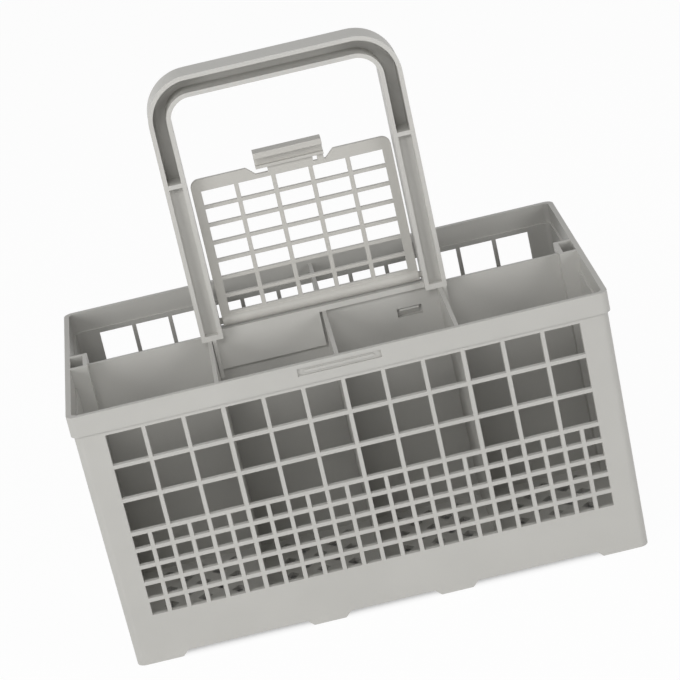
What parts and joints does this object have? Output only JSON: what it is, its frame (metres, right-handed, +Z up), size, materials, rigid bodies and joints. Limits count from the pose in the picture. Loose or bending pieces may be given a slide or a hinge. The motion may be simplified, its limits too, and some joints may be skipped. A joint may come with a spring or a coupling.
{
  "type": "dishwasher cutlery basket",
  "caption": "Open rectangular plastic basket with window-grid long walls, crossing divider walls, a tall arched carrying handle and a hinged grid lid flap that latches on the rim.",
  "frame": {"origin": "middle of the bounding box on the plane the feet stand on", "axes": "+X along the basket's length to the right as pictured, +Y from the front wall to the back wall, +Z up through the handle"},
  "size_m": [0.24, 0.137, 0.2443],
  "materials": {
    "grey_plastic": "satin moulded polypropylene",
    "handle_plastic": "satin moulded polypropylene",
    "lid_plastic": "satin moulded polypropylene"
  },
  "bodies": {
    "basket": {"basket_body": "grey_plastic", "handle": "handle_plastic"},
    "lid": {"lid": "lid_plastic"}
  },
  "joints": [
    {"name": "lid_hinge", "type": "hinge", "parent": "basket", "child": "lid", "pos_m": [0, 0, 0.1271], "axis": [1, 0, 0], "range_deg": [0, 90]}
  ]
}
